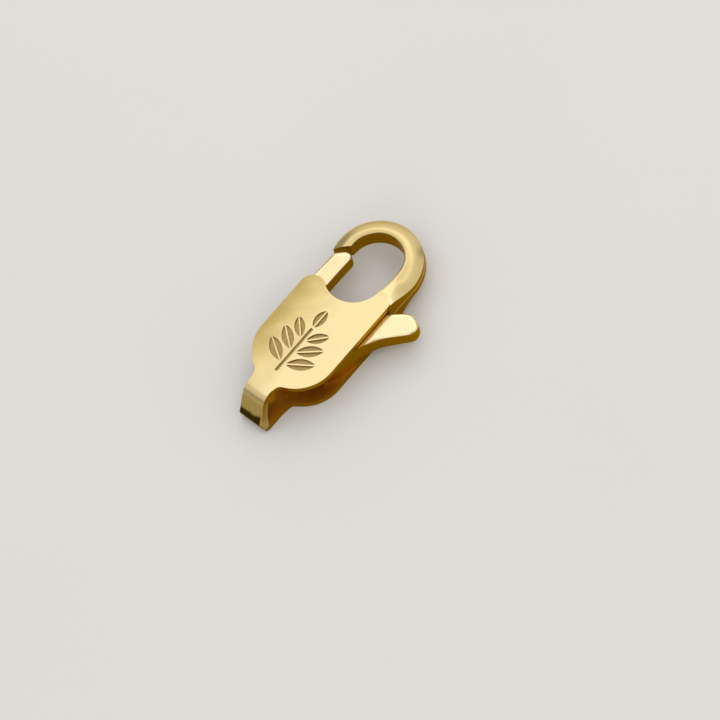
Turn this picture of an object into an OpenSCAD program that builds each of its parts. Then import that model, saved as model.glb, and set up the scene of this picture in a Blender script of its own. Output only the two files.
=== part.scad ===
// Lobster claw clasp, gold tone: folded body with a soldered hook, gate lever, pivot pin, leaf spring.
// Millimetres, +Z up, lying on its lower plate. The plan is drawn with the tail at -Y and the hook at +Y.

/* [Body] */
// Total thickness over both plates
thickness = 3.7; // [3.2:0.1:4.5]
// Thickness of the sheet
sheet = 0.6; // [0.4:0.05:0.8]
// Half width of the body
half_width = 4.12; // [3.5:0.01:5]
// Left edge of the body in the plan
left_edge = -4.05; // [-5:0.01:-3]
// Centre of the body's rounded lower end, along Y
shell_centre_y = 3.6; // [3:0.05:5]
// Length of the rounded lower end, from its centre to its foot
shell_depth = 3.88; // [3:0.01:5]

/* [Tail loop] */
// Left edge of the strap
strap_left = -1.38; // [-2:0.01:-1]
// Right edge of the strap
strap_right = 1.02; // [0.5:0.01:2]
// Where the strap leaves the plates, along Y
neck_y = -1.0; // [-1.5:0.05:-0.5]
// Far end of the fold, along Y
tail_end = -3.8; // [-4:0.05:-3.3]
// Place of the fold's knee, where its slope turns upright, along Y
knee_y = -3.0; // [-3.1:0.05:-2.7]
// Height of the knee
knee_height = 1.5; // [1.3:0.05:2]
// Bend radius at the top of the fold
bend_top = 1.3; // [0.7:0.05:1.6]
// Bend radius at the knee
bend_knee = 0.9; // [0.7:0.05:1.6]
// Bend radius at the bottom of the fold
bend_foot = 0.64; // [0.63:0.01:0.8]
// How much further right the lower plate's half of the strap reaches
strap_spread = 0.6; // [0.1:0.05:0.8]
// Height where the strap starts to widen towards the lower plate
spread_height = 1.8; // [1.2:0.05:2.2]

/* [Eye and hook] */
// Centre of the eye's lower arc, x
eye_x = -0.35; // [-1:0.01:1]
// Centre of the eye's lower arc, y
eye_y = 12.35; // [11:0.01:14]
// Radius of the eye's lower arc
eye_r = 2.9; // [2:0.01:4]
// Centre of the hook's outer arc, x
hook_x = -0.12; // [-1:0.01:1]
// Centre of the hook's outer arc, y
hook_y = 14.55; // [13:0.01:16]
// Radius of the hook's outer arc
hook_r = 4.35; // [3:0.01:5]
// Centre of the hook's inner arc, x
bow_x = -0.25; // [-1:0.01:1]
// Centre of the hook's inner arc, y
bow_y = 14.61; // [13:0.01:16]
// Radius of the hook's inner arc
bow_r = 2.7; // [2:0.01:3.5]
// Where the solid root of the hook begins, along Y
root_y = 11.5; // [11:0.05:13]
// Drop of the hook's domed top from its crown to its outer edge
dome = 0.7; // [0.3:0.05:1.2]
// Drop from the crown to the inner edge
inner_drop = 0.16; // [0.05:0.01:0.3]
// Angle where the hook's outer edge ends
tip_outer = 195.5; // [180:0.5:200]
// Angle where the hook's inner edge ends
tip_inner = 183; // [170:0.5:210]
// Taper above and below, from the plates' faces, where the leg runs into the bow
leg_taper = 0.45; // [0:0.01:0.6]
// Taper above and below at the tip
tip_taper = 0.95; // [0.2:0.01:1]
// Depth of the solder seam round the hook
seam = 0.05; // [0:0.01:0.1]
// Centre of the shoulder lobe beside the gate, x
lobe_x = -2.8; // [-3.5:0.01:-2]
// Centre of the shoulder lobe, y
lobe_y = 9.05; // [8:0.01:10]
// Radius of the shoulder lobe
lobe_r = 1.25; // [0.8:0.01:1.6]

/* [Lever and pin] */
// Gap between the lever and each plate
lever_gap = 0.05; // [0.03:0.01:0.15]
// Pivot, x
pivot_x = 1.8; // [1:0.05:3]
// Pivot, y
pivot_y = 7.4; // [6:0.05:9]
// Radius of the pivot pin
pin_r = 0.55; // [0.3:0.01:1]
// Running clearance of the lever on the pin
pin_play = 0.05; // [0.02:0.01:0.1]
// Depth of the pin's seat in each plate
seat_depth = 0.27; // [0.1:0.01:0.4]
// Far side of the thumb tab, x
tab_right = 7.28; // [6.8:0.01:8]
// Step from the hub's top down to the gate arm and the tab
arm_over = 0.1; // [0:0.01:0.3]
// Step from the hub's underside up to the gate arm and the tab
arm_under = 0.5; // [0:0.01:0.6]
// Rounding of the gate arm's long edges
arm_round = 0.4; // [0.1:0.01:0.6]

/* [Spring] */
// Thickness of the spring strip
strip = 0.16; // [0.1:0.01:0.3]
// Lower edge of the strip
strip_low = 1.2; // [0.9:0.05:1.5]
// Upper edge of the strip
strip_high = 2.3; // [1.8:0.05:2.6]

/* [Sprig] */
// Depth of the cut leaf sprig
cut_depth = 0.14; // [0.05:0.01:0.3]
// Foot of the sprig's stem, along Y
sprig_foot = 0.9; // [0.5:0.05:1.5]
// Width of the stem
stem_width = 0.3; // [0.2:0.02:0.5]
// Width of the uncut vein along each leaf
vein = 0.14; // [0.05:0.01:0.25]

/* [Hidden] */
$fn = 48;
plate_z = thickness - sheet;
centre_x = left_edge + half_width;
right_edge = left_edge + 2 * half_width;
mid_x = (hook_x - hook_r + tab_right) / 2;

// Points on an arc, both ends included.
function arc(c, rx, ry, a0, a1, n) =
    [for (i = [0 : n]) let (a = a0 + (a1 - a0) * i / n) [c[0] + rx * cos(a), c[1] + ry * sin(a)]];

// One corner [x, y, r] between its neighbours, as the points of its round.
function corner(p, q, s, step) =
    let (u = (xy(q) - xy(p)) / norm(xy(q) - xy(p)), v = (xy(s) - xy(q)) / norm(xy(s) - xy(q)),
         turn = atan2(u[0] * v[1] - u[1] * v[0], u[0] * v[0] + u[1] * v[1]),
         r = q[2], t = r * tan(abs(turn) / 2), side = turn > 0 ? 1 : -1,
         a = [q[0] - u[0] * t, q[1] - u[1] * t],
         c = [a[0] - side * u[1] * r, a[1] + side * u[0] * r],
         a0 = atan2(a[1] - c[1], a[0] - c[0]), n = max(1, ceil(abs(turn) / step)))
    r == 0 || abs(turn) < 0.5 ? [xy(q)] : arc(c, r, r, a0, a0 + turn, n);

function xy(p) = [p[0], p[1]];

// A closed outline with rounded corners.
function outline(k, step = 9) =
    let (m = len(k))
    [for (i = [0 : m - 1]) each corner(k[(i + m - 1) % m], k[i], k[(i + 1) % m], step)];

// An open path with rounded corners.
function path(k, step = 9) =
    let (m = len(k))
    concat([xy(k[0])],
           [for (i = [1 : m - 2]) each corner(k[i - 1], k[i], k[i + 1], step)],
           [xy(k[m - 1])]);

// The same path moved sideways, to the left of its direction.
function beside(k, d) =
    let (m = len(k))
    [for (i = [0 : m - 1])
        let (p = k[max(0, i - 1)], q = k[min(m - 1, i + 1)], u = (q - p) / norm(q - p))
        [k[i][0] - u[1] * d, k[i][1] + u[0] * d]];

function turned(k) = [for (i = [len(k) - 1 : -1 : 0]) k[i]];

// Corners of the waist beside the strap, and of the plate's end on the hook's root: x, y, radius.
waist_upper = [1.2, -0.18, 0.7];
waist_lower = [1.8, 0.0, 0.5];
waist_left = [-1.52, -0.15, 0.8];
root_corners = [[right_edge, root_y + 0.25, 0.5], [3.4, root_y + 0.75, 0.6]];
// Angles where the rounded end runs into each plate's waist, and where the eye meets the root and the lobe.
foot_upper = -59.7;
foot_lower = -55;
foot_left = 237;
eye_root = 1;
eye_lobe = -121.4;
lobe_start = 41.5;

function shell_end(a0, a1, n) = arc([centre_x, shell_centre_y], half_width, shell_depth, a0, a1, n);

// A side plate: waist, rounded lower end, right edge, eye, shoulder lobe and left edge.
function plate_outline(strap_edge, waist_right, foot_right) = concat(
    path([[strap_left, neck_y], [strap_edge, neck_y, 0], waist_right, shell_end(foot_right, 0, 12)[0]]),
    shell_end(foot_right + 3, 0, 12),
    path([[right_edge, eye_y - eye_r], each root_corners,
          [eye_x + eye_r * cos(eye_root), eye_y + eye_r * sin(eye_root)]]),
    arc([eye_x, eye_y], eye_r, eye_r, eye_root - 4, eye_lobe, 24),
    arc([lobe_x, lobe_y], lobe_r, lobe_r, lobe_start, 180, 18),
    shell_end(180, foot_left - 3, 12),
    path([shell_end(foot_left, 180, 12)[0], waist_left, [strap_left, neck_y + inset]]));

module upper_plate() {
    translate([0, 0, plate_z]) linear_extrude(height = sheet)
        polygon(plate_outline(strap_right, waist_upper, foot_upper));
}

module lower_plate() {
    linear_extrude(height = sheet)
        polygon(plate_outline(strap_right + strap_spread, waist_lower, foot_lower));
}

// The fold's outer line in side view, y and z.
fold_start = -1.85;
function fold_line() = path([
    [neck_y, thickness], [fold_start, thickness, bend_top], [knee_y, knee_height, bend_knee],
    [tail_end, 0, bend_foot], [neck_y, 0]], 6);
// Its inner line, a sheet away, with both ends square to the neck.
function fold_inside() =
    let (b = beside(fold_line(), sheet), m = len(b))
    [for (i = [0 : m - 1]) i == 0 ? [neck_y, thickness - sheet] : i == m - 1 ? [neck_y, sheet] : b[i]];

// The part's middle along Y, from the fold's far side to the bow's.
mid_y = (min([for (p = fold_line()) p[0]]) + hook_y + hook_r) / 2;

module fold(x0, x1) {
    translate([x0, 0, 0]) rotate([90, 0, 90]) linear_extrude(height = x1 - x0)
        polygon(concat(fold_line(), turned(fold_inside())));
}

// The strap round the fold, and the slanted strip by which its lower half is wider.
module tail_loop() {
    wide = strap_right + strap_spread;
    fold(strap_left, strap_right);
    intersection() {
        fold(strap_right - inset, wide);
        translate([0, neck_y, 0]) rotate([90, 0, 0]) linear_extrude(height = neck_y - tail_end)
            polygon([[strap_right - inset, 0], [wide, 0], [wide, sheet], [strap_right, spread_height],
                     [strap_right - inset, spread_height]]);
    }
}

// Stations along the hook's straight leg and its bow, and steps over each dome.
leg = 12;
bow = 30;
round_steps = 8;
// The leg's root lies this far inside the plates' faces and edges, over this share of the leg, and its
// dome starts this low.
inset = 0.02;
root_flush = 0.3;
root_dome = 0.04;
function mix(a, b, s) = a + (b - a) * s;
function inner_x(y) =
    y < eye_y ? eye_x + sqrt(eye_r * eye_r - pow(y - eye_y, 2)) + inset
              : mix(eye_x + eye_r + inset, bow_x + bow_r, (y - eye_y) / (bow_y - eye_y));
// Each station: outer point, inner point, drop of the dome, distance below the plates' faces.
function stations() = concat(
    [for (i = [0 : leg - 1]) let (s = i / leg, y_out = mix(root_y, hook_y, s), y_in = mix(root_y, bow_y, s),
                                  t = pow(max(0, (s - root_flush) / (1 - root_flush)), 1.5))
        [[mix(right_edge - inset, hook_x + hook_r, s), y_out], [inner_x(y_in), y_in],
         mix(root_dome, dome, s), mix(inset, leg_taper, t)]],
    [for (i = [0 : bow]) let (s = i / bow, a = tip_outer * s, b = tip_inner * s)
        [[hook_x + hook_r * cos(a), hook_y + hook_r * sin(a)],
         [bow_x + bow_r * cos(b), bow_y + bow_r * sin(b)], dome, mix(leg_taper, tip_taper, s)]]);

// The crown's place across the hook, as a share from its inner edge, and how late the top falls beyond it.
crown = 0.3;
fall = 2.4;
// Share of the dome's drop at a share s of the way across.
function hook_drop(s) =
    s < crown ? inner_drop / dome * pow(1 - s / crown, 2) : pow((s - crown) / (1 - crown), fall);

// One section: inner wall up, domed top, outer wall down with the seam, domed underside.
function section(o, n, drop, low) =
    let (m = thickness / 2, groove = mix(o, n, seam / norm(o - n)),
         over = [for (i = [0 : round_steps + 1]) let (s = (1 - cos(180 * i / (round_steps + 1))) / 2)
                    [mix(n, o, s), low + drop * hook_drop(s)]])
    concat([[n[0], n[1], m]],
           [for (p = over) [p[0][0], p[0][1], thickness - p[1]]],
           [[o[0], o[1], m + 2 * seam], [groove[0], groove[1], m], [o[0], o[1], m - 2 * seam]],
           [for (p = turned(over)) [p[0][0], p[0][1], p[1]]]);

module hook() {
    st = stations();
    rows = [for (s = st) section(s[0], s[1], s[2], s[3])];
    k = len(rows[0]);
    m = len(rows);
    points = [for (r = rows) each r];
    sides = [for (i = [0 : m - 2]) for (j = [0 : k - 1]) let (a = i * k + j, b = i * k + (j + 1) % k)
        each [[a, a + k, b], [b, a + k, b + k]]];
    first = [for (j = [1 : k - 2]) [0, j, j + 1]];
    last = [for (j = [1 : k - 2]) let (o = (m - 1) * k) [o, o + j + 1, o + j]];
    polyhedron(points = points, faces = concat(sides, first, last));
}

// A leaf of the sprig: the lens between two circles, its base at the origin, lying along +Y.
module leaf(length, width) {
    r = (length * length / 4 + width * width / 4) / width;
    translate([0, length / 2]) intersection() {
        translate([r - width / 2, 0]) circle(r = r);
        translate([width / 2 - r, 0]) circle(r = r);
    }
}
module veined_leaf(length, width) {
    difference() {
        leaf(length, width);
        translate([-vein / 2, 0]) square([vein, length]);
    }
}
// Pairs of leaves up the stem: foot along the stem, angle from it, length, width.
leaf_pairs = [[0.95, 58, 2.75, 1.15], [2.35, 52, 2.6, 1.1], [3.75, 45, 2.2, 1.0]];
stem_length = 5.0;
tip_leaf = [2.0, 1.05];
leaf_gap = 0.12;
module sprig() {
    translate([0, sprig_foot]) {
        translate([-stem_width / 2, 0]) square([stem_width, stem_length]);
        translate([0, stem_length + leaf_gap]) veined_leaf(tip_leaf[0], tip_leaf[1]);
        for (p = leaf_pairs, side = [-1, 1])
            translate([side * stem_width, p[0]]) rotate(-side * p[1]) veined_leaf(p[2], p[3]);
    }
}

module clasp_body() {
    color("#D8B65C") difference() {
        union() {
            upper_plate();
            lower_plate();
            tail_loop();
            hook();
        }
        translate([pivot_x, pivot_y, sheet - seat_depth])
            cylinder(r = pin_r + inset, h = thickness - 2 * (sheet - seat_depth));
        translate([0, 0, thickness - cut_depth]) linear_extrude(height = sheet) sprig();
    }
}

// Corners of the lever's plan: x, y, radius.
heel = [[2.95, 3.15, 0.4], [3.78, 4.6, 1.0], [3.98, 6.0, 3], [4.45, 7.45, 3]];
tab = [[5.2, 8.8, 3.5], [tab_right, 10.98, 1.0], [tab_right, 12.0, 0.88],
       [5.9, 12.52, 1.1], [4.25, 11.45, 0]];
hub = [[1.5, 9.1, 1.2], [-0.6, 8.75, 1.5], [-2.1, 9.4, 0.8]];
gate = [[-2.1, 11.5, 0], [-2.03, 13.82, 0.6], [-2.95, 13.88, 0.6], [-3.84, 13.05, 0.7]];
back = [[-3.84, 7.95, 1.6], [-1.0, 6.1, 2], [0.9, 5.9, 1.0], [2.0, 5.0, 0.6], [2.15, 3.3, 0.3]];

module lever_plan() {
    polygon(outline(concat(heel, tab, hub, gate, back)));
}

// The thick middle of the lever, between the plates: its right and left limits and its upper end.
hub_right = 4.05;
hub_left = -0.4;
hub_end = 9.2;
// The gate arm's edges are round from this far past the lobe's centre.
shoulder = 0.5;
module hub_plan() {
    intersection() {
        lever_plan();
        translate([hub_left, 0]) square([hub_right - hub_left, hub_end]);
    }
}

// The gate arm's section, with round edges, laid along Y from the shoulder on.
module gate_bar(h) {
    x0 = gate[3][0];
    w = gate[1][0] - x0;
    r = arm_round;
    translate([x0, hub[2][1], h]) rotate([-90, 0, 0]) linear_extrude(height = gate[2][1] - hub[2][1])
        polygon(outline([[0, 0, r], [w, 0, r], [w, h, r], [0, h, r]]));
}

module lever() {
    z0 = sheet + lever_gap;
    h = thickness - 2 * z0;
    arm = h - arm_over - arm_under;
    shoulder_y = lobe_y + shoulder;
    color("#E2C26A") difference() {
        union() {
            translate([0, 0, z0]) linear_extrude(height = h) hub_plan();
            translate([0, 0, z0 + arm_under]) linear_extrude(height = arm) difference() {
                lever_plan();
                translate([left_edge - 1, shoulder_y]) square([eye_x - left_edge + 1, half_width * 2]);
            }
            translate([0, 0, z0 + arm_under]) intersection() {
                linear_extrude(height = arm) lever_plan();
                gate_bar(arm);
            }
        }
        translate([pivot_x, pivot_y, 0]) cylinder(r = pin_r + pin_play, h = thickness);
    }
}

module pivot_pin() {
    z0 = sheet - seat_depth + inset;
    color("#C9A74F") translate([pivot_x, pivot_y, z0]) cylinder(r = pin_r, h = thickness - 2 * z0);
}

// The strip stands on edge: its foot lies across the fold, its free end rests beside the heel.
strip_corners = [[-1.25, -1.9], [-0.7, -1.9, 0.45], [1.0, 1.6, 3], [1.97, 4.1]];

module leaf_spring() {
    line = path(strip_corners);
    color("#B9BBB8") translate([0, 0, strip_low]) linear_extrude(height = strip_high - strip_low)
        polygon(concat(beside(line, -strip / 2), turned(beside(line, strip / 2))));
}

translate([-mid_x, -mid_y, 0]) {
    clasp_body();
    lever();
    pivot_pin();
    leaf_spring();
}
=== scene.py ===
"""Dresses the lobster claw clasp: folded body with its hook, lever, pivot pin and leaf spring."""

import math

import bmesh
import bpy
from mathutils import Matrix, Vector


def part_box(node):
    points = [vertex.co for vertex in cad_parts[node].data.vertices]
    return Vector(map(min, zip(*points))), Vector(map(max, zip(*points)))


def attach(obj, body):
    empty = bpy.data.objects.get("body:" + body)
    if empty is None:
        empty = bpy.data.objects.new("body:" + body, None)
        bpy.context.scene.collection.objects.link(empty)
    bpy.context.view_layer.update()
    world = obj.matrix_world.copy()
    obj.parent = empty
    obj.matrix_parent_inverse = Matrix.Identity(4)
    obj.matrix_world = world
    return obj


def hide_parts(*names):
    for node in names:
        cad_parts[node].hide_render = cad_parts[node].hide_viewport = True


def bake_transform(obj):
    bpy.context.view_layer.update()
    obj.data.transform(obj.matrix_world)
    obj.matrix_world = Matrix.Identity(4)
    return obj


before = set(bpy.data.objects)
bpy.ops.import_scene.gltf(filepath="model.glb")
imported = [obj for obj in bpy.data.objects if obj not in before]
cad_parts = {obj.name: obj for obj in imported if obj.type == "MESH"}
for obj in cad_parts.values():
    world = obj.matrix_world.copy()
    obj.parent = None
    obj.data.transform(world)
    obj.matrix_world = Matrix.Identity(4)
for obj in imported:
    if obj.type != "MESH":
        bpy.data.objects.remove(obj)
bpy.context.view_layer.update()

# Clasp body. The two side plates and the tail strap are one strip of brass sheet, folded double
# at the tail. The hook is two pressed shells, soldered rim to rim and on to the plates. The whole
# is plated in gold tone and tumbled to a satin finish, with a leaf sprig cut into the upper plate.
MM = 0.001
SHEET = 0.6
LEFT_EDGE = -4.05
TAIL_END = -3.8
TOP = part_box("clasp_body")[1].z / MM
MIDDLE = TOP / 2
# The pieces are drawn in millimetres over the strap's own zero, and brought to metres when done.
PIVOT = (1.8, 7.4)
pin_low, pin_high = (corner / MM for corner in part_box("pivot_pin"))
plan_zero = Vector((
    (pin_low.x + pin_high.x) / 2 - PIVOT[0],
    (pin_low.y + pin_high.y) / 2 - PIVOT[1], 0))
# An outline's shortest step, and how near its points may lie before they are one.
SHORTEST = 1e-4
OUTLINE_MERGE = 1e-3
# The same for the points of a solid.
MERGE = 0.002
# Points within this of each other lie on the same line or plane.
NEAR = 0.01
# In degrees: only sharper edges are rounded, and only sharper ones show as edges.
SHARP_TURN = 50
SMOOTH_ANGLE = 35


def spot(x, y, z=0.0):
    """A point of the clasp's plan, x and y from the strap and z from the surface it lies on."""
    return plan_zero + Vector((x, y, z))


def take(piece):
    """Leaves one piece selected, and puts it in hand."""
    bpy.ops.object.select_all(action="DESELECT")
    piece.select_set(True)
    bpy.context.view_layer.objects.active = piece


def begin_point(name, x, y, z):
    """A new piece that starts as one point: a small plane, merged at its middle."""
    bpy.ops.object.select_all(action="DESELECT")
    bpy.ops.mesh.primitive_plane_add(size=0.1, location=spot(x, y, z))
    bpy.ops.object.transform_apply(location=True, rotation=True, scale=True)
    piece = bpy.context.object
    piece.name = piece.data.name = name
    bpy.ops.object.mode_set(mode="EDIT")
    bpy.ops.mesh.select_mode(type="VERT")
    bpy.ops.mesh.select_all(action="SELECT")
    bpy.ops.mesh.merge(type="CENTER")
    return piece


def in_hand():
    return bmesh.from_edit_mesh(bpy.context.object.data)


def pick(kind, wanted):
    """Selects just the corners, edges or faces of the piece in hand that wanted() asks for."""
    mode = {"verts": "VERT", "edges": "EDGE", "faces": "FACE"}[kind]
    bpy.ops.mesh.select_mode(type=mode)
    bpy.ops.mesh.select_all(action="DESELECT")
    form = in_hand()
    for part in getattr(form, kind):
        if wanted(part):
            part.select_set(True)
    form.select_flush_mode()
    bmesh.update_edit_mesh(bpy.context.object.data)


def pull(x, y, z):
    """Extrudes what is selected by this much."""
    bpy.ops.mesh.extrude_region_move(TRANSFORM_OT_translate={"value": (x, y, z)})


def line_to(x, y):
    """Draws the outline on from its last point."""
    last = next(v.co for v in in_hand().verts if v.select)
    step = spot(x, y, last.z) - last
    if step.length > SHORTEST:
        bpy.ops.mesh.extrude_vertices_move(TRANSFORM_OT_translate={"value": step})


def turn_about(centre, angle, axis, steps):
    """Spins what is selected about a centre, anticlockwise seen against the axis."""
    bpy.ops.mesh.spin(steps=steps, angle=-angle, center=centre, axis=axis)


def draw_outline(corners, degrees_a_step=8.0):
    """Draws a closed outline through corners of x, y and rounding radius, and fills it."""
    for n, (x, y, radius) in enumerate(corners):
        here = Vector((x, y))
        way_in = (here - Vector(corners[n - 1][:2])).normalized()
        way_out = (Vector(corners[(n + 1) % len(corners)][:2]) - here).normalized()
        turn = math.atan2(way_in.x * way_out.y - way_in.y * way_out.x, way_in.dot(way_out))
        if radius == 0 or abs(turn) < math.radians(1):
            line_to(x, y)
            continue
        start = here - way_in * radius * math.tan(abs(turn) / 2)
        side = math.copysign(radius, turn)
        line_to(start.x, start.y)
        centre = spot(start.x - way_in.y * side, start.y + way_in.x * side)
        steps = max(2, round(abs(math.degrees(turn)) / degrees_a_step))
        turn_about(centre, turn, (0, 0, 1), steps)
    bpy.ops.mesh.select_all(action="SELECT")
    bpy.ops.mesh.remove_doubles(threshold=OUTLINE_MERGE)
    bpy.ops.mesh.edge_face_add()


def arc(centre, radii, first, last, steps):
    """Points on an arc, as plain corners of an outline, both ends included."""
    angles = [math.radians(first + (last - first) * n / steps) for n in range(steps + 1)]
    return [(centre[0] + radii[0] * math.cos(a), centre[1] + radii[1] * math.sin(a), 0)
            for a in angles]


def face_outwards():
    """Merges points that all but meet, and turns all faces outwards."""
    bpy.ops.mesh.select_all(action="SELECT")
    bpy.ops.mesh.remove_doubles(threshold=MERGE)
    bpy.ops.mesh.dissolve_degenerate(threshold=MERGE)
    bpy.ops.mesh.select_all(action="SELECT")
    bpy.ops.mesh.normals_make_consistent(inside=False)
    if in_hand().calc_volume(signed=True) < 0:
        bpy.ops.mesh.flip_normals()


def round_edges(wanted, width, segments=3):
    """Rounds the edges that turn sharply and that wanted() asks for."""
    pick("edges", lambda e: e.calc_face_angle(0) > math.radians(SHARP_TURN) and wanted(e))
    bpy.ops.mesh.bevel(
        offset=width, segments=segments, profile=0.5, affect="EDGES", clamp_overlap=True)


def slice_at(places, axis):
    """Cuts the whole piece by planes across one axis, so that its flat faces can be shaped."""
    normal = Vector((0, 0, 0))
    normal[axis] = 1
    for place in places:
        bpy.ops.mesh.select_all(action="SELECT")
        bpy.ops.mesh.bisect(plane_co=plan_zero + normal * place, plane_no=normal)


def combine(piece, tool, operation):
    """Joins a tool's solid to the piece, or cuts it away, and removes the tool."""
    take(piece)
    change = piece.modifiers.new(tool.name, "BOOLEAN")
    change.operation = operation
    change.object = tool
    change.solver = "EXACT"
    bpy.ops.object.modifier_apply(modifier=change.name)
    bpy.data.objects.remove(tool)
    bpy.ops.object.mode_set(mode="EDIT")
    face_outwards()
    bpy.ops.object.mode_set(mode="OBJECT")


def bring_home(piece, even_faces=True):
    """Brings a piece that was drawn in millimetres to metres, and smooths its shading."""
    take(piece)
    piece.scale = (MM, MM, MM)
    bpy.ops.object.transform_apply(location=True, rotation=True, scale=True)
    bpy.ops.object.shade_smooth_by_angle(angle=math.radians(SMOOTH_ANGLE))
    if even_faces:
        shading = piece.modifiers.new("even_faces", "WEIGHTED_NORMAL")
        shading.keep_sharp = True
        bpy.ops.object.modifier_apply(modifier=shading.name)


# A side plate's corners, anticlockwise: strap, waist, rounded lower end, right edge, eye,
# shoulder lobe, left edge and the other side of the lower end.
HALF_WIDTH = 4.12
RIGHT_EDGE = LEFT_EDGE + 2 * HALF_WIDTH
NECK_Y = -1.0
STRAP = (-1.38, 1.02)
EYE = (-0.35, 12.35)
EYE_RADIUS = 2.9
LOBE = (-2.8, 9.05)
LOBE_RADIUS = 1.25
ROOT_Y = 11.5
# The rounded lower end is part of an ellipse.
shell_centre = (LEFT_EDGE + HALF_WIDTH, 3.6)
shell_radii = (HALF_WIDTH, 3.88)


def plate_corners(strap_edge, waist, foot):
    """One plate's outline, given its strap's right edge, its waist and its ellipse's first angle."""
    return [
        (STRAP[0], NECK_Y, 0),
        (strap_edge, NECK_Y, 0),
        waist,
        *arc(shell_centre, shell_radii, foot, 0, 20),
        (RIGHT_EDGE, 11.75, 0.5),
        (3.4, 12.25, 0.6),
        *arc(EYE, (EYE_RADIUS, EYE_RADIUS), 1, -121.4, 40),
        *arc(LOBE, (LOBE_RADIUS, LOBE_RADIUS), 41.5, 180, 26),
        *arc(shell_centre, shell_radii, 180, 237, 19),
        (-1.52, -0.15, 0.8),
    ]


# The lower plate's half of the strap is wider to the right. The two plates are cut, then joined.
STRAP_SPREAD = 0.6
lower_plate = begin_point("lower_plate", STRAP[0], NECK_Y, SHEET)
draw_outline(plate_corners(STRAP[1] + STRAP_SPREAD, (1.8, 0.0, 0.5), -55))
pull(0, 0, -SHEET)
face_outwards()
bpy.ops.object.mode_set(mode="OBJECT")
body = begin_point("body", STRAP[0], NECK_Y, TOP)
draw_outline(plate_corners(STRAP[1], (1.2, -0.18, 0.7), -59.7))
pull(0, 0, -SHEET)
face_outwards()
bpy.ops.object.mode_set(mode="OBJECT")
take(body)
lower_plate.select_set(True)
bpy.ops.object.join()
bpy.ops.object.mode_set(mode="EDIT")

# The strap runs round from neck to neck: slope, knee, upright part and foot.
neck = plan_zero.y + NECK_Y


def is_neck(face):
    return face.normal.y < -0.9 and abs(face.calc_center_median().y - neck) < NEAR


pick("faces", lambda f: is_neck(f) and f.calc_center_median().z < MIDDLE)
bpy.ops.mesh.delete(type="ONLY_FACE")
pick("faces", is_neck)
# Corners of the fold's outer line in side view: along Y, height, bend radius.
fold = [(NECK_Y, TOP, 0), (-1.85, TOP, 1.3), (-3.0, 1.5, 0.9), (TAIL_END, 0, 0.64), (NECK_Y, 0, 0)]
DEGREES_A_BEND_STEP = 5
place = Vector(fold[0][:2])
for before, bend, after in zip(fold, fold[1:], fold[2:]):
    corner = Vector(bend[:2])
    way_in = (corner - Vector(before[:2])).normalized()
    way_out = (Vector(after[:2]) - corner).normalized()
    turn = math.acos(way_in.dot(way_out))
    start = corner - way_in * bend[2] * math.tan(turn / 2)
    end = corner + way_out * bend[2] * math.tan(turn / 2)
    pull(0, start.x - place.x, start.y - place.y)
    centre = start + Vector((-way_in.y, way_in.x)) * bend[2]
    steps = round(math.degrees(turn) / DEGREES_A_BEND_STEP)
    turn_about(spot(0, centre.x, centre.y), turn, (1, 0, 0), steps)
    place = end
pull(0, NECK_Y - place.x, 0 - place.y)
bpy.ops.mesh.delete(type="ONLY_FACE")
# Below this height the strap's right edge leans out, to the lower plate's.
SPREAD_HEIGHT = 1.8
strap_edge = spot(STRAP[1], 0).x
low_edge = [v.index for v in in_hand().verts
            if abs(v.co.x - strap_edge) < NEAR and v.co.y < neck + NEAR and v.co.z < SPREAD_HEIGHT]
for n in low_edge:
    in_hand().verts.ensure_lookup_table()
    low = in_hand().verts[n]
    share = min(1, (SPREAD_HEIGHT - low.co.z) / (SPREAD_HEIGHT - SHEET))
    pick("verts", lambda v: v.index == n)
    bpy.ops.transform.translate(value=(STRAP_SPREAD * share, 0, 0))
face_outwards()


def is_root(point):
    """Where the plates end on the hook's root, and are soldered flush."""
    return point.x > spot(2.7, 0).x and point.y > spot(0, 11.4).y


def is_rim(e):
    """Any edge but the upright ones and those that the hook's root takes in."""
    flat_length = (e.verts[0].co - e.verts[1].co).xy.length
    return flat_length > NEAR and not all(is_root(v.co) for v in e.verts)


RIM_RADIUS = 0.17
round_edges(is_rim, RIM_RADIUS, 4)

# Cuts across the plates, so that they can be shaped.
CUT_STEP = 0.42
slice_at([LEFT_EDGE + 0.35 + CUT_STEP * n for n in range(19)], 0)
slice_at([NECK_Y + 0.25 + CUT_STEP * n for n in range(31)], 1)
face_outwards()

# Within the body the faces take a deeper orange tone: painted shade between the plates and within
# the fold.
fold_middle = spot(0, -1.6, MIDDLE)
INNER_SHADE = 1


def is_inner(face):
    """A face that looks into the body, between the plates or within the fold."""
    centre = face.calc_center_median()
    if centre.y > neck:
        return abs(face.normal.z) > 0.9 and abs(centre.z - MIDDLE) < MIDDLE - SHEET + 0.02
    return face.normal.dot((fold_middle - centre).normalized()) > 0.5 and abs(face.normal.x) < 0.3


pick("faces", is_inner)
for face in in_hand().faces:
    face.material_index = INNER_SHADE if face.select else 0
bpy.ops.object.mode_set(mode="OBJECT")

# The hook: a rounded tube of two shells, drawn section by section from its tip to its root.
HOOK = (-0.12, 14.55)
HOOK_RADIUS = 4.35
BOW = (-0.25, 14.61)
BOW_RADIUS = 2.7
# Angles where its outer and its inner edge end, at the tip.
TIP_OUTER = 195.5
TIP_INNER = 183
INSET = 0.02
# How far its crown lies within the two plates' outer faces, at the leg's end and at the tip.
LEG_TAPER = 0.45
TIP_TAPER = 0.95
# The dome: the crown's place across the width, its drop to either edge as shares of the half
# height, how late it falls, and what is left of the drop at the root.
CROWN = 0.17
INNER_DROP = 0.07
OUTER_DROP = 0.55
FALL = 1.9
ROOT_DOME = 0.2
# The leg stays flush with the plates over this share of its length.
ROOT_FLUSH = 0.15
DOME_STEPS = 14
# The upper shell stands back from the lower one's edge, with the solder's groove between them.
LEDGE = 0.035
SEAM = 0.04
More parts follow.
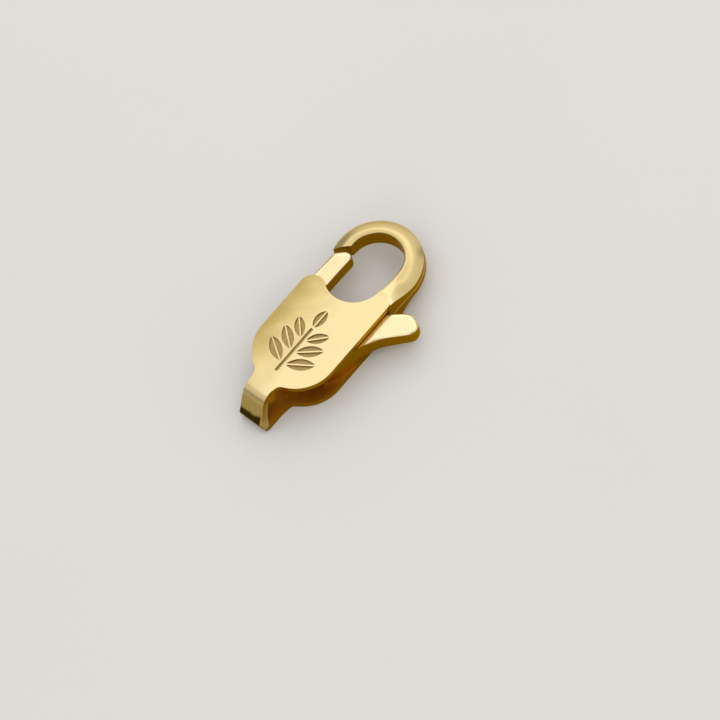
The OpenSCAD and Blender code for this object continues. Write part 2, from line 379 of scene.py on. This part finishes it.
# Roundings of the tube's edges at the eye, of the lower shell's lip at the seam and of the tip.
EYE_LIP = 0.1
SEAM_LIP = 0.06
TIP_ROUNDING = 0.08
# Points this far over or under the middle belong to the dome, and not to the seam.
CAP_RISE = 0.5
BOW_ROWS = 64
LEG_ROWS = 14


def mix(a, b, share):
    return a + (b - a) * share


def ease(share):
    """A share from 0 to 1 that starts and ends gently."""
    share = max(0, min(1, share))
    return share * share * (3 - 2 * share)


def eye_side(y):
    """The hook's inner edge beside the eye, just inside the plates' edge."""
    if y < EYE[1]:
        return EYE[0] + math.sqrt(EYE_RADIUS ** 2 - (y - EYE[1]) ** 2) + INSET
    return mix(EYE[0] + EYE_RADIUS + INSET, BOW[0] + BOW_RADIUS, (y - EYE[1]) / (BOW[1] - EYE[1]))


def on_circle(centre, radius, angle):
    return spot(centre[0] + radius * math.cos(angle), centre[1] + radius * math.sin(angle), MIDDLE)


# Each rung: outer end, inner end, half height, share of the dome's drop.
rungs = []
for n in range(BOW_ROWS + 1):
    share = 1 - n / BOW_ROWS
    outer, inner = math.radians(TIP_OUTER * share), math.radians(TIP_INNER * share)
    rungs.append((
        on_circle(HOOK, HOOK_RADIUS, outer),
        on_circle(BOW, BOW_RADIUS, inner),
        MIDDLE - mix(LEG_TAPER, TIP_TAPER, share), 1))
for n in range(1, LEG_ROWS + 1):
    share = 1 - n / LEG_ROWS
    clear = ease((share - ROOT_FLUSH) / (1 - ROOT_FLUSH))
    outer_y, inner_y = mix(ROOT_Y, HOOK[1], share), mix(ROOT_Y, BOW[1], share)
    rungs.append((
        spot(mix(RIGHT_EDGE - INSET, HOOK[0] + HOOK_RADIUS, share), outer_y, MIDDLE),
        spot(eye_side(inner_y), inner_y, MIDDLE),
        MIDDLE - mix(INSET, LEG_TAPER, clear), mix(ROOT_DOME, 1, ease(share))))


def heading(rung):
    """The angle in plan from a rung's outer end to its inner one."""
    across = rung[1] - rung[0]
    return math.atan2(across.y, across.x)


def section_caps(test):
    """Selects the part of the last section that test() asks for, and returns the whole section."""
    form = in_hand()
    form.verts.ensure_lookup_table()
    section = [v.index for v in form.verts if v.select]
    bpy.ops.mesh.select_all(action="DESELECT")
    form = in_hand()
    form.verts.ensure_lookup_table()
    for n in section:
        form.verts[n].select_set(test(form.verts[n].co.z - MIDDLE))
    form.select_flush_mode()
    return section


def section_whole(section):
    """Selects the whole of the last section again."""
    form = in_hand()
    form.verts.ensure_lookup_table()
    for n in section:
        form.verts[n].select_set(True)
    form.select_flush_mode()


def dome_drop(share):
    """The drop from the crown, at a share of the width from the eye's side to the outer edge."""
    if share < CROWN:
        return INNER_DROP * (1 - share / CROWN) ** 2
    return OUTER_DROP * ((share - CROWN) / (1 - CROWN)) ** FALL


tip = rungs[0]
tip_middle = (tip[0] + tip[1]) / 2
tip_half = (tip[1] - tip[0]).length / 2
upper, lower = [], []
for n in range(DOME_STEPS + 1):
    share = n / DOME_STEPS
    rise = tip[2] * (1 - dome_drop(share))
    radius = EYE_LIP if n == 0 else 0
    upper.append((tip_half - (2 * tip_half - LEDGE) * share, MIDDLE + rise, radius))
    lower.append((tip_half - 2 * tip_half * share, MIDDLE - rise, radius))
groove = [(LEDGE - tip_half, MIDDLE + SEAM / 2, 0), (LEDGE + SEAM - tip_half, MIDDLE, 0),
          (-tip_half, MIDDLE - SEAM / 2, SEAM_LIP)]
hook = begin_point("hook", tip_half, MIDDLE, 0)
draw_outline([(tip_half, MIDDLE, 0), *upper, *groove, *reversed(lower)])
bpy.ops.mesh.select_all(action="SELECT")
bpy.ops.transform.rotate(value=-math.radians(90), orient_axis="X", center_override=spot(0, 0))
bpy.ops.transform.rotate(value=-heading(tip), orient_axis="Z", center_override=spot(0, 0))
bpy.ops.transform.translate(value=Vector((tip_middle.x, tip_middle.y, 0)) - spot(0, 0))
for last, rung in zip(rungs, rungs[1:]):
    middle_was, middle = (last[0] + last[1]) / 2, (rung[0] + rung[1]) / 2
    pull(*(middle - middle_was))
    turn = (heading(rung) - heading(last) + math.pi) % (2 * math.pi) - math.pi
    bpy.ops.transform.rotate(value=-turn, orient_axis="Z", center_override=middle)
    wider = (rung[1] - rung[0]).length / (last[1] - last[0]).length
    bpy.ops.transform.resize(value=(wider, wider, rung[2] / last[2]), center_override=middle)
    if rung[3] != last[3]:
        for side in (1, -1):
            section = section_caps(lambda rise: rise * side > CAP_RISE)
            crown = MIDDLE + side * rung[2]
            bpy.ops.transform.resize(value=(1, 1, rung[3] / last[3]), center_override=(0, 0, crown))
            section_whole(section)
face_outwards()
tip_way = Vector((-math.sin(heading(tip)), math.cos(heading(tip)), 0))
round_edges(lambda e: all(abs((v.co - tip_middle).dot(tip_way)) < 0.001 for v in e.verts)
            and abs(e.verts[0].co.z - MIDDLE) > SEAM, TIP_ROUNDING)
face_outwards()
bpy.ops.object.mode_set(mode="OBJECT")

# The leaf sprig, cut with tapered gravers: a stem, a leaf over its tip and three pairs beside it.
# Each leaf is cut as two halves, so that its vein stays standing.
CUT_DEPTH = 0.14
SPRIG_FOOT = 0.9
# The stem's width and length, and the width of the vein between a leaf's two cuts.
STEM = (0.3, 5.0)
VEIN = 0.14
# Leaves: foot from the stem's middle, foot up the stem, angle to the left of it, length, width.
leaves = [(0, STEM[1] + 0.12, 0, 2.0, 1.05)]
for pair in ((0.95, 58, 2.75, 1.15), (2.35, 52, 2.6, 1.1), (3.75, 45, 2.2, 1.0)):
    foot, angle, length, width = pair
    leaves += [(STEM[0], foot, -angle, length, width), (-STEM[0], foot, angle, length, width)]
# The graver's taper from the top down: inset of the outline, height over the floor of the cut.
TAPER = [(0.0, 0.30), (0.0, 0.165), (0.02, 0.07), (0.015, 0.02), (0.015, 0.0)]


def finish_graver(graver):
    """Turns a filled outline above the plate into a tapered solid that reaches the cut's floor."""
    height = TAPER[0][1]
    for inset, rise in TAPER[1:]:
        bpy.ops.mesh.extrude_region_move(TRANSFORM_OT_translate={"value": (0, 0, rise - height)})
        if inset:
            bpy.ops.mesh.select_mode(type="FACE")
            bpy.ops.mesh.inset(thickness=inset, depth=0, use_boundary=True)
        height = rise
    face_outwards()
    bpy.ops.object.mode_set(mode="OBJECT")


gravers = []
for foot_x, foot_y, angle, length, width in leaves:
    reach = (length ** 2 + width ** 2) / (4 * width)
    edge = math.degrees(math.acos((reach - width / 2 + VEIN / 2) / reach))
    lean = math.radians(angle)
    half_leaf = arc((width / 2 - reach, length / 2), (reach, reach), -edge, edge, 14)
    for side in (1, -1):
        points = [(foot_x + side * x * math.cos(lean) - y * math.sin(lean),
                   SPRIG_FOOT + foot_y + side * x * math.sin(lean) + y * math.cos(lean), 0)
                  for x, y, _ in half_leaf]
        graver = begin_point("graver", *points[0][:2], TOP - CUT_DEPTH + TAPER[0][1])
        draw_outline(points[::side])
        finish_graver(graver)
        gravers.append(graver)
half_stem, stem_top = STEM[0] / 2, SPRIG_FOOT + STEM[1]
graver = begin_point("graver", -half_stem, SPRIG_FOOT, TOP - CUT_DEPTH + TAPER[0][1])
draw_outline([(-half_stem, SPRIG_FOOT, 0), (half_stem, SPRIG_FOOT, 0),
              (half_stem, stem_top, 0), (-half_stem, stem_top, 0)])
finish_graver(graver)
gravers.append(graver)


def node(tree, kind, links=(), **values):
    """Adds a shader node, sets its properties and sockets by name, and links sources to sockets."""
    made = tree.nodes.new(kind)
    for name, value in values.items():
        if hasattr(made, name):
            setattr(made, name, value)
        else:
            made.inputs[name.replace("_", " ")].default_value = value
    for source, socket in links:
        tree.links.new(source, made.inputs[socket])
    return made


def start_material(name, metallic=1.0):
    """A material with its shader, and the object's own coordinates in millimetres."""
    material = bpy.data.materials.new(name)
    material.use_nodes = True
    tree = material.node_tree
    shader = tree.nodes["Principled BSDF"]
    shader.inputs["Metallic"].default_value = metallic
    place = node(tree, "ShaderNodeTexCoord")
    scale = node(tree, "ShaderNodeMapping", [(place.outputs["Object"], "Vector")])
    scale.inputs["Scale"].default_value = (1 / MM, 1 / MM, 1 / MM)
    return material, tree, shader, scale.outputs["Vector"]


def math_node(tree, operation, *values):
    """A Math node whose inputs are numbers or other nodes' outputs."""
    made = node(tree, "ShaderNodeMath", operation=operation)
    for n, value in enumerate(values):
        if isinstance(value, (int, float)):
            made.inputs[n].default_value = value
        else:
            tree.links.new(value, made.inputs[n])
    return made.outputs[0]


def times(tree, first, second):
    return math_node(tree, "MULTIPLY", first, second)


def plus(tree, first, second):
    return math_node(tree, "ADD", first, second)


def larger(tree, first, second):
    return math_node(tree, "MAXIMUM", first, second)


def ramp(tree, source, low, high, from_value=0.0, to_value=1.0):
    """Maps a range of a value to another, and holds it at both ends."""
    made = node(tree, "ShaderNodeMapRange", [(source, "Value")], clamp=True)
    ends = {"From Min": low, "From Max": high, "To Min": from_value, "To Max": to_value}
    for socket, value in ends.items():
        made.inputs[socket].default_value = value
    return made.outputs["Result"]


def ramp_along(tree, source, low, high, from_value=0.0, to_value=1.0):
    """The same between two places along the clasp, given by their y in the plan."""
    return ramp(tree, source, spot(0, low).y, spot(0, high).y, from_value, to_value)


def ramp_across(tree, source, low, high, from_value=0.0, to_value=1.0):
    """The same between two places across the clasp, given by their x in the plan."""
    return ramp(tree, source, spot(low, 0).x, spot(high, 0).x, from_value, to_value)


def blend_colours(tree, share, first, second):
    """Mixes two colours, each a tuple or another node's output."""
    made = node(tree, "ShaderNodeMix", [(share, 0)], data_type="RGBA")
    for socket, colour in ((6, first), (7, second)):
        if isinstance(colour, tuple):
            made.inputs[socket].default_value = (*colour, 1)
        else:
            tree.links.new(colour, made.inputs[socket])
    return made.outputs[2]


def noise(tree, place, scale, detail=2.0, roughness=0.5):
    made = node(tree, "ShaderNodeTexNoise", [(place, "Vector")],
                Scale=scale, Detail=detail, Roughness=roughness)
    return made.outputs["Fac"]


def waver(tree, source, reach):
    """Turns a noise into a shift to either side of nought, of up to half the reach."""
    return times(tree, math_node(tree, "SUBTRACT", source, 0.5), reach)


# The tone of the painted dark reflection on the fold below the knee.
DARK_REFLECTION_TONE = (0.012, 0.008, 0.002)
# Seen at a slant the plating keeps its yellow, where bare metal would turn white.
EDGE_TINT = (0.96, 0.74, 0.36, 1)
# How much of the painted shade's deeper tone the hook has, and how much of the left side's reaches
# it.
HOOK_SHADE = 0.5
TIP_SHADE = 0.3
SCRATCH_ANGLE = 28


def plated_gold(name, face_tone, shaded_tone, wall_shade_tone, gloss, dark_reflection=None):
    """Gold-tone plating: clear on the faces, with painted shade on the walls and in patches, satin,
    scratched and pitted.
    """
    material, tree, shader, place = start_material(name)
    shader.inputs["Specular Tint"].default_value = EDGE_TINT
    facing = node(tree, "ShaderNodeNewGeometry").outputs["Normal"]
    slope = node(tree, "ShaderNodeSeparateXYZ", [(facing, 0)]).outputs["Z"]
    upright = math_node(tree, "ABSOLUTE", slope)
    where = node(tree, "ShaderNodeSeparateXYZ", [(place, 0)])
    # Painted shade: faces that stand upright take the darker wall tone, in place of the dark
    # surroundings they would reflect.
    wall_shade_and_solder = ramp(tree, upright, 0.06, 0.5, 1.0, 0.0)
    # The solder line round the hook is as deep in tone, and fades towards the bow.
    over_middle = math_node(tree, "SUBTRACT", where.outputs["Z"], MIDDLE)
    off_middle = math_node(tree, "ABSOLUTE", over_middle)
    fading = times(tree, ramp_along(tree, where.outputs["Y"], 10.8, 11),
                   ramp_along(tree, where.outputs["Y"], 14, 16.5, 0.9, 0.45))
    solder = times(tree, ramp(tree, off_middle, 0.04, 0.1, 1.0, 0.0), fading)
    wall_shade_and_solder = larger(tree, wall_shade_and_solder, solder)
    # Painted shade, in patches: the hook, the tail and the left side are darkened towards a deeper
    # tone.
    shift = waver(tree, noise(tree, place, 0.5, 3.0), 3.0)
    across = plus(tree, where.outputs["X"], shift)
    along = plus(tree, where.outputs["Y"], shift)
    ends = larger(tree, ramp_along(tree, along, 11.8, 13.6, 0.0, HOOK_SHADE),
                  ramp_along(tree, where.outputs["Y"], -2.4, -1.4, 1.0, 0.0))
    left = times(tree, ramp_across(tree, across, -4.2, 0.9, 1.0, 0.0),
                 ramp_along(tree, where.outputs["Y"], 12.8, 14.5, 1.0, TIP_SHADE))
    clear = blend_colours(tree, larger(tree, ends, left), face_tone, shaded_tone)
    colour = blend_colours(tree, wall_shade_and_solder, clear, wall_shade_tone)
    # A painted dark reflection, where one is given.
    if dark_reflection:
        colour = blend_colours(tree, dark_reflection(tree, place), colour, DARK_REFLECTION_TONE)
    tree.links.new(colour, shader.inputs["Base Color"])

    # The satin is a fine grain, with scratches that run slantwise and a few pits.
    grain = noise(tree, place, 14.0, 3.0, 0.6)
    brushed = node(tree, "ShaderNodeMapping", [(place, "Vector")])
    brushed.inputs["Rotation"].default_value = (0, 0, math.radians(SCRATCH_ANGLE))
    brushed.inputs["Scale"].default_value = (1.2, 26.0, 6.0)
    scratches = ramp(tree, noise(tree, brushed.outputs["Vector"], 1.0, 2.0), 0.66, 0.74)
    spots = node(tree, "ShaderNodeTexVoronoi", [(place, "Vector")], Scale=1.5, Randomness=1.0)
    pits = times(tree, ramp(tree, spots.outputs["Distance"], 0.03, 0.075, 1.0, 0.0),
                 ramp(tree, noise(tree, place, 0.7), 0.5, 0.6))
    rough = ramp(tree, grain, 0.3, 0.7, gloss - 0.03, gloss + 0.05)
    rough = plus(tree, rough, times(tree, scratches, 0.06))
    rough = plus(tree, rough, times(tree, pits, 0.2))
    tree.links.new(rough, shader.inputs["Roughness"])
    fine = plus(tree, times(tree, scratches, -0.3), times(tree, pits, -3.0))
    relief = plus(tree, times(tree, grain, 0.25), fine)
    # Tumbling leaves the faces slightly uneven.
    swell = times(tree, noise(tree, place, 0.55, 1.0), 9.0)
    relief = plus(tree, relief, swell)
    bump = node(tree, "ShaderNodeBump", [(relief, "Height")], Strength=0.4, Distance=0.01 * MM)
    tree.links.new(bump.outputs["Normal"], shader.inputs["Normal"])
    return material


def bare_metal(name, tone, roughness, grain_scale, depth):
    """Unpolished metal with a grain of this scale and depth, darker in patches."""
    material, tree, shader, place = start_material(name)
    grain = noise(tree, place, grain_scale, 4.0, 0.7)
    darker = tuple(c * 0.7 for c in tone)
    colour = blend_colours(tree, ramp(tree, grain, 0.3, 0.7), tone, darker)
    tree.links.new(colour, shader.inputs["Base Color"])
    shader.inputs["Roughness"].default_value = roughness
    bump = node(tree, "ShaderNodeBump", [(grain, "Height")], Strength=0.5, Distance=depth * MM)
    tree.links.new(bump.outputs["Normal"], shader.inputs["Normal"])
    return material


def knee_dark_reflection(tree, place):
    """A painted dark reflection on the upright part of the fold, below the knee."""
    parts = node(tree, "ShaderNodeSeparateXYZ", [(place, 0)])
    height = plus(tree, parts.outputs["Z"], waver(tree, noise(tree, place, 0.8, 2.0), 0.8))
    band = times(tree, ramp(tree, height, 0.1, 0.45), ramp(tree, height, 1.45, 1.8, 1.0, 0.0))
    behind = ramp_along(tree, parts.outputs["Y"], -2.72, -2.6, 1.0, 0.0)
    within = ramp_across(tree, parts.outputs["X"], STRAP[1] - 0.1, STRAP[1] + 0.02, 1.0, 0.0)
    return times(tree, times(tree, band, behind), times(tree, within, 0.95))


# Painted shade: the darker tone of upright faces, which the solder line shares.
WALL_SHADE_TONE = (0.32, 0.16, 0.004)
satin_gold = plated_gold("satin_gold", (0.86, 0.7, 0.37), (0.46, 0.34, 0.11), WALL_SHADE_TONE, 0.27,
                         knee_dark_reflection)
# Painted shade: the inside's deeper orange tone.
inner_shade_metal = bare_metal("inner_shade_metal", (0.76, 0.36, 0.02), 0.4, 3.0, 0.02)
cut_gold = bare_metal("cut_gold", (0.5, 0.34, 0.13), 0.5, 9.0, 0.03)
for finish in (satin_gold, inner_shade_metal, cut_gold):
    for piece in (body, *gravers):
        piece.data.materials.append(finish)
CUT = 2
for graver in gravers:
    for face in graver.data.polygons:
        face.material_index = CUT
    combine(body, graver, "DIFFERENCE")


def draw_down(drop, reach):
    """Lowers what is selected, and less and less of what lies within reach of it."""
    bpy.ops.transform.translate(
        value=(0, 0, -drop), use_proportional_edit=True, proportional_edit_falloff="SMOOTH",
        proportional_size=reach, use_proportional_connected=True)


# A slight roll of both plates towards each other at the left edge, that tumbling leaves.
ROLL = 0.22
ROLL_REACH = 3.0
bpy.ops.object.mode_set(mode="EDIT")
for height, drop in ((TOP, ROLL), (0, -ROLL)):
    pick("verts", lambda v: v.co.x - plan_zero.x < -3.2 and v.co.y - plan_zero.y > 1.2
         and abs(v.co.z - height) < SHEET + 0.1)
    draw_down(drop, ROLL_REACH)
face_outwards()
bpy.ops.mesh.quads_convert_to_tris(quad_method="BEAUTY", ngon_method="BEAUTY")
bpy.ops.object.mode_set(mode="OBJECT")

# Seats for the pivot pin, drilled part way into the two plates from within.
PIN_RADIUS = (pin_high.x - pin_low.x) / 2


def pivot_drill(radius, depth):
    """A round solid on the pivot's axis, to cut the pin's seats or the lever's bore with."""
    bpy.ops.object.select_all(action="DESELECT")
    bpy.ops.mesh.primitive_cylinder_add(
        vertices=48, radius=radius, depth=depth, location=spot(*PIVOT, MIDDLE))
    drill = bpy.context.object
    drill.name = "drill"
    return drill


seat_drill = pivot_drill(PIN_RADIUS + INSET, pin_high.z - pin_low.z + 2 * INSET)
combine(body, seat_drill, "DIFFERENCE")
combine(body, hook, "UNION")
bring_home(body)
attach(body, "body")
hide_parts("clasp_body")

# Lever. One brass casting: a thick hub on the pin, with the heel that the spring pushes, and two
# thinner ends outside the plates, the gate arm that shuts the eye and the thumb tab. It is plated
# like the body, and polished brighter.
lever_low, lever_high = (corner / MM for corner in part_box("lever"))
# How far the hub stands over and under the arm and the tab.
ARM_OVER = 0.1
ARM_UNDER = 0.5
# Corners of its outline, rounded: heel, tab, hub's upper side, gate arm and back.
lever_corners = [
    (2.15, 3.3, 0.3), (2.95, 3.15, 0.4), (3.78, 4.6, 1.0), (3.98, 6.0, 3), (4.45, 7.45, 3),
    (5.2, 8.8, 3.5), (7.28, 10.98, 1.0), (7.28, 12.0, 0.88), (5.9, 12.52, 1.1), (4.25, 11.45, 0),
    (1.5, 9.1, 1.2), (-0.6, 8.75, 1.5), (-2.1, 9.4, 0.8),
    (-2.1, 11.5, 0), (-2.03, 13.82, 0.6), (-2.95, 13.88, 0.6), (-3.84, 13.05, 0.7),
    (-3.84, 7.95, 1.6), (-1.0, 6.1, 2), (0.9, 5.9, 1.0), (2.0, 5.0, 0.6),
]
LEVER_DEGREES_A_STEP = 12.0
lever = begin_point("lever_arm", *lever_corners[0][:2], lever_high.z - ARM_OVER)
draw_outline(lever_corners, LEVER_DEGREES_A_STEP)
pull(0, 0, lever_low.z + ARM_UNDER - lever_high.z + ARM_OVER)
face_outwards()


def rim_softness(e):
    """How round the casting's rim is here, from 0 to 1.

    It is soft under the arm, on the arm's left side and on the tab's side towards the hook, and
    crisper on the arm's top beside the eye and on the tab's side towards the heel.
    """
    if abs(e.verts[0].co.z - e.verts[1].co.z) > NEAR:
        return 0
    middle = (e.verts[0].co + e.verts[1].co) / 2 - plan_zero
    if middle.x < -2 and middle.y > 9.45:
        if middle.z < MIDDLE or middle.x < -2.9:
            return 1
        return mix(1, 0.35, min(1, (middle.x + 2.9) / 0.7))
    if middle.x > 4.6:
        heel_side = (middle.x - 5.6) * 0.69 - (middle.y - 10.3) * 0.72
        return mix(1, 0.3, min(1, max(0, heel_side / 0.9 + 0.5)))
    return 0


CASTING_ROUNDING = 0.48
softness = in_hand().edges.layers.float.new("bevel_weight_edge")
for e in in_hand().edges:
    e[softness] = rim_softness(e)
bmesh.update_edit_mesh(bpy.context.object.data)
bpy.ops.object.mode_set(mode="OBJECT")
rounding = lever.modifiers.new("rounding", "BEVEL")
rounding.width = CASTING_ROUNDING
rounding.segments = 7
rounding.limit_method = "WEIGHT"
rounding.use_clamp_overlap = False
bpy.ops.object.modifier_apply(modifier=rounding.name)
bpy.ops.object.mode_set(mode="EDIT")
face_outwards()
# The arm and the tab are cut across, and the tab's far end is drawn down a little, so that its
# top swells.
TAB_END = 7.0
TAB_DROP = 0.14
TAB_REACH = 1.8
slice_at([9.6 + CUT_STEP * n for n in range(11)], 1)
slice_at([-3.3, -2.9, -2.5, 4.6, 5.0, 5.4, 5.8, 6.2, 6.6, TAB_END], 0)
pick("verts", lambda v: v.co.x - plan_zero.x > TAB_END and v.co.z > MIDDLE)
draw_down(TAB_DROP, TAB_REACH)
face_outwards()
# The hub is drawn up and down out of its middle, to lie close to both plates. Its top is the
# narrower of the two, so that it stays under the plate when the gate is open.
HUB_LEFT = -0.4
HUB_TOP_RIGHT = 3.6
HUB_RIGHT = 4.05
HUB_END = 9.2
slice_at((HUB_LEFT, HUB_TOP_RIGHT, HUB_RIGHT), 0)
slice_at([HUB_END], 1)


def is_hub(face, way, right):
    """A face of the hub's top (way 1) or underside (way -1), as far to the right as this."""
    middle = face.calc_center_median() - plan_zero
    return face.normal.z * way > 0.9 and HUB_LEFT < middle.x < right and middle.y < HUB_END


for way, height, right in ((1, ARM_OVER, HUB_TOP_RIGHT), (-1, -ARM_UNDER, HUB_RIGHT)):
    pick("faces", lambda f: is_hub(f, way, right))
    pull(0, 0, height)
face_outwards()


def is_flat(e):
    return abs(e.verts[0].co.z - e.verts[1].co.z) < NEAR


def is_hub_rim(e):
    return is_flat(e) and all(
        v.co.z > lever_high.z - NEAR or v.co.z < lever_low.z + NEAR for v in e.verts)


HUB_ROUNDING = 0.06
BORE_PLAY = 0.05
round_edges(is_hub_rim, HUB_ROUNDING, 2)
face_outwards()
bpy.ops.object.mode_set(mode="OBJECT")
combine(lever, pivot_drill(PIN_RADIUS + BORE_PLAY, TOP), "DIFFERENCE")
bright_gold = plated_gold("bright_gold", (0.93, 0.79, 0.47), (0.86, 0.7, 0.4), WALL_SHADE_TONE, 0.22)
lever.data.materials.append(bright_gold)
bring_home(lever)
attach(lever, "lever")
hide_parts("lever")

# Pivot pin. A plain turned brass pin that the lever turns on, held between the plates' seats.
# It keeps its solid's shape, which is right, and takes a turned finish.
turned_brass, tree, shader, place = start_material("turned_brass")
rings = node(tree, "ShaderNodeTexWave", [(place, "Vector")],
             bands_direction="Z", Scale=6.0, Distortion=0.6)
colour = blend_colours(tree, ramp(tree, noise(tree, place, 2.0), 0.3, 0.7),
                       (0.62, 0.42, 0.14), (0.5, 0.32, 0.1))
tree.links.new(colour, shader.inputs["Base Color"])
tree.links.new(ramp(tree, rings.outputs["Fac"], 0, 1, 0.28, 0.4), shader.inputs["Roughness"])
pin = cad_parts["pivot_pin"]
pin.data.materials.clear()
pin.data.materials.append(turned_brass)

# Leaf spring. A strip of rolled spring steel, stood on edge: its foot lies across the fold and its
# free end bears on the lever's heel.
STRIP = 0.16
STRIP_ROUNDING = 0.03
SPRING_FOOT = (-1.25, -1.9)
SPRING_END = (1.97, 4.1)
spring_low, spring_high = (corner.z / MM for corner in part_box("leaf_spring"))


def ribbon(route, thickness):
    """The outline of a strip of even thickness along a route of corners of x, y and radius."""
    ways = [(Vector(b[:2]) - Vector(a[:2])).normalized() for a, b in zip(route, route[1:])]
    sides = []
    for half in (-thickness / 2, thickness / 2):
        side = []
        for n, (x, y, radius) in enumerate(route):
            before, after = ways[max(0, n - 1)], ways[min(n, len(ways) - 1)]
            mitre = (Vector((-before.y, before.x)) + Vector((-after.y, after.x))).normalized()
            reach = half / mitre.dot(Vector((-after.y, after.x)))
            side.append((x + mitre.x * reach, y + mitre.y * reach, max(0, radius - half)))
        sides.append(side)
    for side in sides:
        side[0], side[-1] = (*side[0][:2], 0), (*side[-1][:2], 0)
    return sides[0] + sides[1][::-1]


route = [(*SPRING_FOOT, 0), (-0.7, -1.9, 0.45), (1.0, 1.6, 3), (*SPRING_END, 0)]
outline = ribbon(route, STRIP)
spring = begin_point("spring_strip", *outline[0][:2], spring_high)
draw_outline(outline)
pull(0, 0, spring_low - spring_high)
face_outwards()
round_edges(is_flat, STRIP_ROUNDING, 2)
slice_at([-1.6 + 0.3 * n for n in range(19)], 1)
bpy.ops.object.mode_set(mode="OBJECT")
rolled_steel, tree, shader, place = start_material("rolled_steel")
along = node(tree, "ShaderNodeMapping", [(place, "Vector")])
along.inputs["Scale"].default_value = (3.0, 0.8, 30.0)
lines = noise(tree, along.outputs["Vector"], 1.0, 3.0)
colour = blend_colours(tree, ramp(tree, noise(tree, place, 1.2), 0.35, 0.65),
                       (0.42, 0.4, 0.37), (0.3, 0.27, 0.22))
tree.links.new(colour, shader.inputs["Base Color"])
tree.links.new(ramp(tree, lines, 0.3, 0.7, 0.25, 0.45), shader.inputs["Roughness"])
bump = node(tree, "ShaderNodeBump", [(lines, "Height")], Strength=0.4, Distance=0.01 * MM)
tree.links.new(bump.outputs["Normal"], shader.inputs["Normal"])
spring.data.materials.append(rolled_steel)
bring_home(spring, even_faces=False)
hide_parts("leaf_spring")
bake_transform(spring)

# Studio. A plain pale floor that the clasp lies on, one broad soft light above, four weaker ones
# low around it, a room that pales towards its ceiling, and a long lens at the photograph's angle.
FLOOR_SIZE = 6.0
# In millimetres under the clasp, so that no face of the lower plate lies in the floor.
FLOOR_DROP = 0.01
bpy.ops.object.select_all(action="DESELECT")
bpy.ops.mesh.primitive_plane_add(size=FLOOR_SIZE, location=(0, 0, -FLOOR_DROP * MM))
bpy.ops.object.transform_apply(location=True, rotation=True, scale=True)
floor = bpy.context.object
floor.name = "floor"
pale, tree, shader, place = start_material("pale_floor", metallic=0.0)
colour = blend_colours(tree, noise(tree, place, 0.02, 2.0), (0.74, 0.73, 0.71), (0.78, 0.77, 0.75))
tree.links.new(colour, shader.inputs["Base Color"])
shader.inputs["Roughness"].default_value = 0.9
floor.data.materials.append(pale)


def direction(azimuth, elevation):
    """Points from the clasp outwards: azimuth 0 is towards the viewer who looks along +Y."""
    a, e = math.radians(azimuth), math.radians(elevation)
    return Vector((math.sin(a) * math.cos(e), -math.cos(a) * math.cos(e), math.sin(e)))


def soft_light(name, azimuth, elevation, distance, size, brightness, tint):
    """A square soft light whose face has the given brightness, aimed at the clasp."""
    data = bpy.data.lights.new(name, "AREA")
    data.shape = "SQUARE"
    data.size = size
    data.energy = math.pi * size ** 2 * brightness
    data.color = tint
    light = bpy.data.objects.new(name, data)
    bpy.context.scene.collection.objects.link(light)
    way = direction(azimuth, elevation)
    light.location = way * distance
    light.rotation_euler = (-way).to_track_quat("-Z", "Y").to_euler()


WARM_WHITE = (1.0, 0.98, 0.96)
ROOM_WHITE = (1.0, 0.99, 0.97)
# Each light: azimuth, elevation, distance and width in metres, brightness of its face.
soft_light("overhead_light", 240, 76, 0.5, 0.8, 0.63, ROOM_WHITE)
soft_light("side_light", 134, 32, 0.6, 0.72, 0.54, WARM_WHITE)
soft_light("front_light", 36, 26, 0.6, 0.3, 1.5, WARM_WHITE)
soft_light("back_light", 212, 20, 0.6, 0.84, 0.64, WARM_WHITE)
soft_light("tail_light", 322, 28, 0.6, 0.36, 0.5, WARM_WHITE)
# The room's walls grow brighter towards its pale ceiling.
world = bpy.data.worlds.new("room")
world.use_nodes = True
room = world.node_tree
looking = node(room, "ShaderNodeTexCoord").outputs["Generated"]
upwards = node(room, "ShaderNodeSeparateXYZ", [(looking, 0)]).outputs["Z"]
backdrop = room.nodes["Background"]
backdrop.inputs["Color"].default_value = (*ROOM_WHITE, 1)
room.links.new(ramp(room, upwards, 0.05, 0.85, 0.3, 0.5), backdrop.inputs["Strength"])
bpy.context.scene.world = world
bpy.context.scene.view_settings.view_transform = "Standard"

# The camera looks down at 62 degrees from the tab's side, rolled so that the clasp lies slantwise.
CAMERA_AZIMUTH = 60
CAMERA_ELEVATION = 62
CAMERA_DISTANCE = 0.35
CAMERA_ROLL = 22
LENS = 199.5
AIM = spot(5.51, 6.04, TOP) * MM
lens_data = bpy.data.cameras.new("camera")
lens_data.lens = LENS
lens_data.clip_start, lens_data.clip_end = 0.01, 20
camera = bpy.data.objects.new("camera", lens_data)
bpy.context.scene.collection.objects.link(camera)
back = direction(CAMERA_AZIMUTH, CAMERA_ELEVATION)
camera.location = AIM + back * CAMERA_DISTANCE
camera.rotation_mode = "QUATERNION"
camera.rotation_quaternion = (-back).to_track_quat("-Z", "Y")
bpy.context.view_layer.update()
across = camera.matrix_world.to_quaternion() @ Vector((1, 0, 0))
upward = camera.matrix_world.to_quaternion() @ Vector((0, 1, 0))
tilt = math.radians(CAMERA_ROLL)
right = across * math.cos(tilt) - upward * math.sin(tilt)
up = across * math.sin(tilt) + upward * math.cos(tilt)
turned = camera.matrix_world.copy()
for row in range(3):
    turned[row][0], turned[row][1], turned[row][2] = right[row], up[row], back[row]
camera.matrix_world = turned
bpy.context.scene.camera = camera
